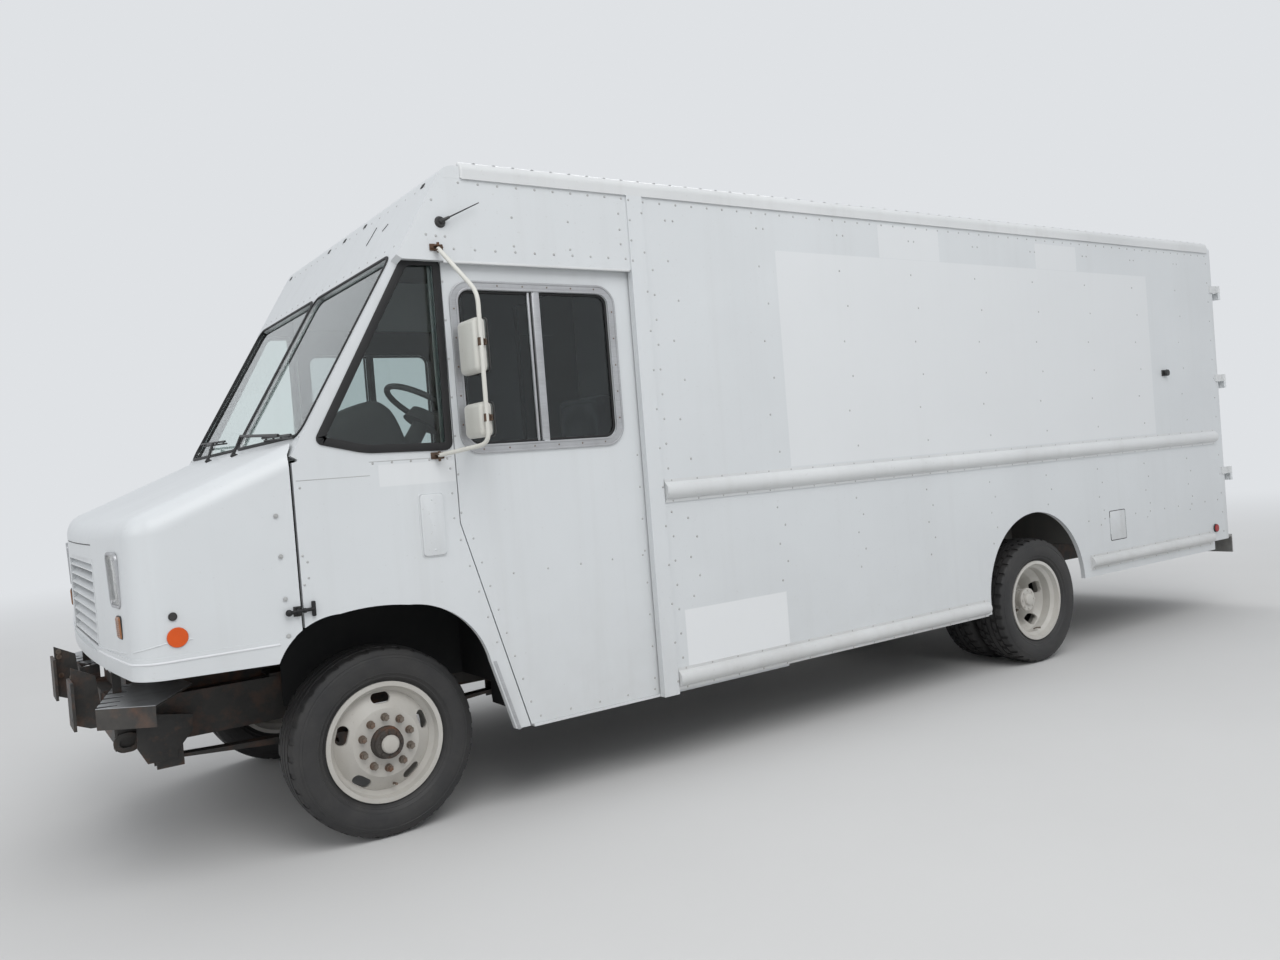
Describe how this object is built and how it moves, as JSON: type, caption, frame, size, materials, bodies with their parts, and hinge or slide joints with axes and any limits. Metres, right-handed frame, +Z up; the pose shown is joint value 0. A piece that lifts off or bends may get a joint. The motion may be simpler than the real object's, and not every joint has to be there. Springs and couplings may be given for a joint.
{
  "type": "walk-in delivery truck",
  "caption": "Walk-in delivery truck with a square cargo body, sloping windscreen, short hood, sliding cab doors, swing rear doors, steered front wheels and twin rear wheels.",
  "frame": {"origin": "middle of the bounding box on the ground", "axes": "+Z up, -X forward, so +X runs along the truck to its tail; -Y is the driver's side"},
  "size_m": [8.455, 2.83, 2.9659],
  "materials": {
    "body_paint": "white paint, weathered",
    "rail_paint": "white painted aluminium extrusion",
    "chassis_paint": "black chassis paint, dusty",
    "wheel_paint": "cream-white wheel paint, rusty in places",
    "tyre_rubber": "dusty black rubber",
    "cast_parts": "rusty castings",
    "window_glass": "clear tinted glass",
    "dark_glass": "dark tinted glass",
    "bright_metal": "mill-finish aluminium",
    "trim_black": "black plastic",
    "cab_trim": "dark grey moulded plastic",
    "seat_cloth": "dark grey cloth",
    "lamp_clear": "clear lamp in a bright bezel",
    "lamp_amber": "amber lamp",
    "lamp_red": "red lamp",
    "floor_metal": "grey floor paint",
    "tank_metal": "dull steel",
    "step_metal": "tread plate"
  },
  "bodies": {
    "chassis": {"front_axle": "cast_parts", "leaf_springs": "chassis_paint", "rear_axle": "cast_parts", "drive_shaft": "cast_parts", "chassis_frame": "chassis_paint", "engine": "cast_parts", "radiator": "chassis_paint", "fuel_tank": "tank_metal", "exhaust": "tank_metal", "cargo_floor": "floor_metal", "cab_floor": "floor_metal", "side_wall_left": "body_paint", "side_wall_right": "body_paint", "roof": "body_paint", "body_rails": "rail_paint", "cab_side_left": "body_paint", "cab_side_right": "body_paint", "door_frames": "body_paint", "front_cap": "body_paint", "cab_glass": "window_glass", "rear_frame": "body_paint", "rear_hinges": "bright_metal", "rear_step": "step_metal", "firewall": "floor_metal", "dashboard": "cab_trim", "engine_cover": "cab_trim", "driver_seat": "seat_cloth", "steering_wheel": "trim_black", "bulkhead": "floor_metal", "mirrors": "bright_metal", "wipers": "trim_black", "tail_lamps": "lamp_red"},
    "hood_lid": {"hood": "body_paint", "headlamps": "lamp_clear", "turn_lamps": "lamp_amber", "grille": "body_paint"},
    "steer_left": {"knuckle_left": "cast_parts"},
    "steer_right": {"knuckle_right": "cast_parts"},
    "steer_link": {"tie_rod": "cast_parts"},
    "wheel_front_left": {"rim_front_left": "wheel_paint", "tyre_front_left": "tyre_rubber"},
    "wheel_front_right": {"rim_front_right": "wheel_paint", "tyre_front_right": "tyre_rubber"},
    "wheel_rear_left": {"rim_rear_left": "wheel_paint", "tyre_rear_left": "tyre_rubber"},
    "wheel_rear_right": {"rim_rear_right": "wheel_paint", "tyre_rear_right": "tyre_rubber"},
    "door_left": {"cab_door_left": "body_paint", "door_glass_left": "dark_glass"},
    "door_right": {"cab_door_right": "body_paint", "door_glass_right": "dark_glass"},
    "back_door_left": {"rear_door_left": "body_paint"},
    "back_door_right": {"rear_door_right": "body_paint"}
  },
  "joints": [
    {"name": "hood_tilt", "type": "hinge", "parent": "chassis", "child": "hood_lid", "pos_m": [-4.0725, 0, 0.872], "axis": [0, -1, 0], "range_deg": [0, 60]},
    {"name": "steer_left_turn", "type": "hinge", "parent": "chassis", "child": "steer_left", "pos_m": [-3.0725, -0.715, 0.419], "axis": [0, 0, 1], "range_deg": [-35, 35]},
    {"name": "steer_right_turn", "type": "hinge", "parent": "chassis", "child": "steer_right", "pos_m": [-3.0725, 0.715, 0.419], "axis": [0, 0, 1], "range_deg": [-35, 35]},
    {"name": "steer_link_slide", "type": "slide", "parent": "chassis", "child": "steer_link", "axis": [0, 1, 0], "range_m": [-0.11, 0.11]},
    {"name": "front_left_spin", "type": "hinge", "parent": "steer_left", "child": "wheel_front_left", "pos_m": [-3.0725, -0.876, 0.419], "axis": [0, 1, 0], "continuous": true},
    {"name": "front_right_spin", "type": "hinge", "parent": "steer_right", "child": "wheel_front_right", "pos_m": [-3.0725, 0.876, 0.419], "axis": [0, 1, 0], "continuous": true},
    {"name": "rear_left_spin", "type": "hinge", "parent": "chassis", "child": "wheel_rear_left", "pos_m": [1.4485, -0.896, 0.419], "axis": [0, 1, 0], "continuous": true},
    {"name": "rear_right_spin", "type": "hinge", "parent": "chassis", "child": "wheel_rear_right", "pos_m": [1.4485, 0.896, 0.419], "axis": [0, 1, 0], "continuous": true},
    {"name": "door_left_slide", "type": "slide", "parent": "chassis", "child": "door_left", "axis": [1, 0, 0], "range_m": [0, 0.8]},
    {"name": "door_right_slide", "type": "slide", "parent": "chassis", "child": "door_right", "axis": [1, 0, 0], "range_m": [0, 0.8]},
    {"name": "back_door_left_swing", "type": "hinge", "parent": "chassis", "child": "back_door_left", "pos_m": [4.0355, -1.205, 1.7], "axis": [0, 0, -1], "range_deg": [0, 270]},
    {"name": "back_door_right_swing", "type": "hinge", "parent": "chassis", "child": "back_door_right", "pos_m": [4.0355, 1.205, 1.7], "axis": [0, 0, 1], "range_deg": [0, 270]}
  ],
  "couplings": [
    {"joint": "steer_right_turn", "follows": "steer_left_turn", "ratio": 1},
    {"joint": "steer_link_slide", "follows": "steer_left_turn", "m_per_rad": 0.1596}
  ]
}
